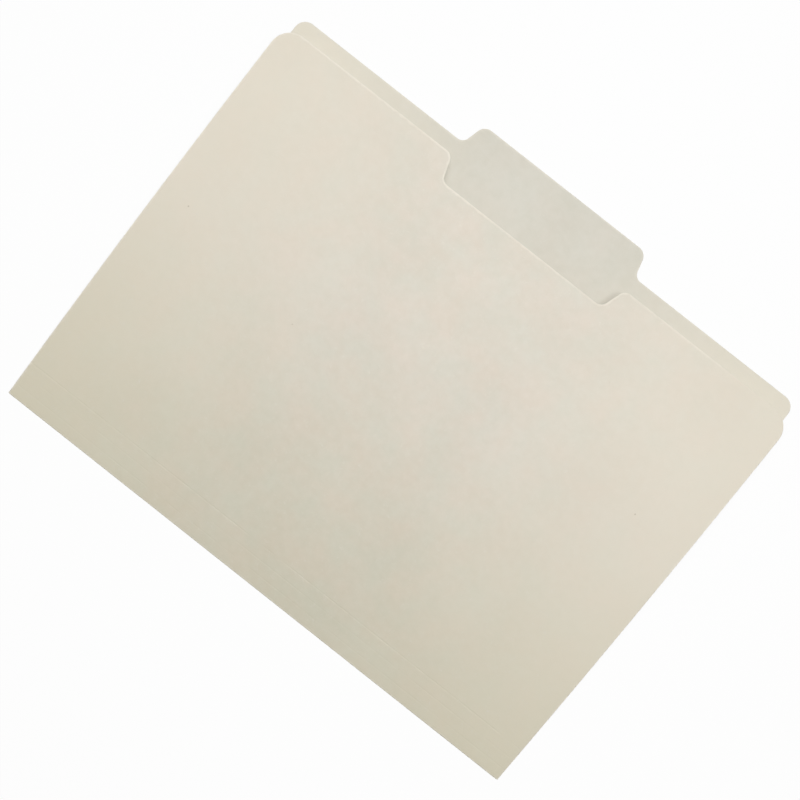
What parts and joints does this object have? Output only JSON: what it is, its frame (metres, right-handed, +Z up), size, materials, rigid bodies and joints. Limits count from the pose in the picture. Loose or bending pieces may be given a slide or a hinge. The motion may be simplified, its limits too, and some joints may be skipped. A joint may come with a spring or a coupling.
{
  "type": "file folder",
  "caption": "Letter-size paper file folder with a centre tab, a thumb cut in the front cover, and scores beside the fold that let its bottom widen.",
  "frame": {"origin": "centre of the folder's footprint on the surface it lies on, at the back cover's outer face", "axes": "+X along the fold to the right, +Y from the fold towards the tab, +Z up out of the front cover"},
  "size_m": [0.2984, 0.2413, 0.0175],
  "materials": {
    "manila_board": "matt, lightly calendered uncoated board"
  },
  "bodies": {
    "back": {"back_cover": "manila_board", "bottom_fold": "manila_board"},
    "strips": {"expansion_strip_1": "manila_board", "expansion_strip_2": "manila_board", "expansion_strip_3": "manila_board"},
    "front": {"front_cover": "manila_board"}
  },
  "joints": [
    {"name": "cover_open", "type": "hinge", "parent": "back", "child": "strips", "pos_m": [0, -0.12005, 0.0006], "axis": [1, 0, 0], "range_deg": [-4.35, 172.7], "stiffness_Nm_per_rad": 0.01, "springref_deg": 85.94},
    {"name": "score_3_bend", "type": "hinge", "parent": "strips", "child": "front", "pos_m": [0, -0.1018, 0.00336], "axis": [-1, 0, 0], "range_deg": [-80, 0]}
  ]
}
